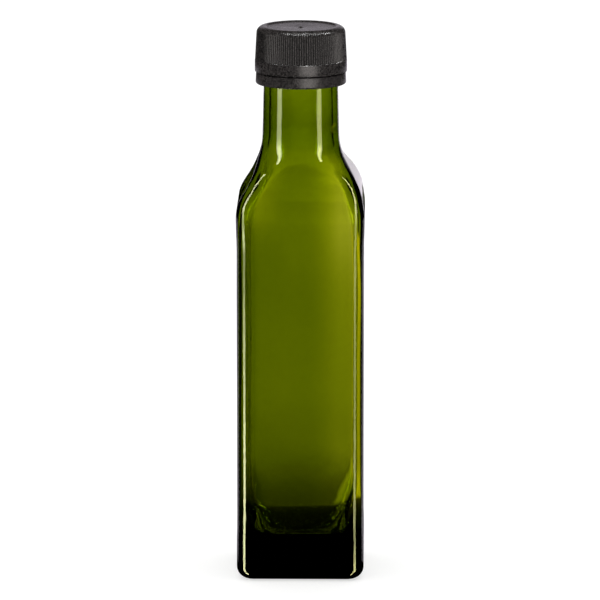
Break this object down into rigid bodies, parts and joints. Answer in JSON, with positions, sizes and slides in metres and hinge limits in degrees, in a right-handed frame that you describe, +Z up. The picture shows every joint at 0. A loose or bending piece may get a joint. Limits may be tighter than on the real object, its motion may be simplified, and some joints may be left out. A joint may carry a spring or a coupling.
{
  "type": "square glass oil bottle",
  "caption": "Tall square green-glass oil bottle, empty, with a round neck and a black ribbed screw cap over a plain tamper ring.",
  "frame": {"origin": "centre of the base, on the surface that the bottle stands on", "axes": "+Z up along the bottle's axis, -Y out of one flat side (the front), +X to the right as seen from the front"},
  "size_m": [0.0474, 0.0474, 0.2041],
  "materials": {
    "bottle_glass": "clear, deep olive-green, polished",
    "cap_plastic": "moulded black plastic, satin",
    "ring_plastic": "moulded black plastic, satin"
  },
  "bodies": {
    "root": {"bottle": "bottle_glass", "screw_cap": "cap_plastic", "tamper_ring": "ring_plastic"}
  },
  "joints": []
}
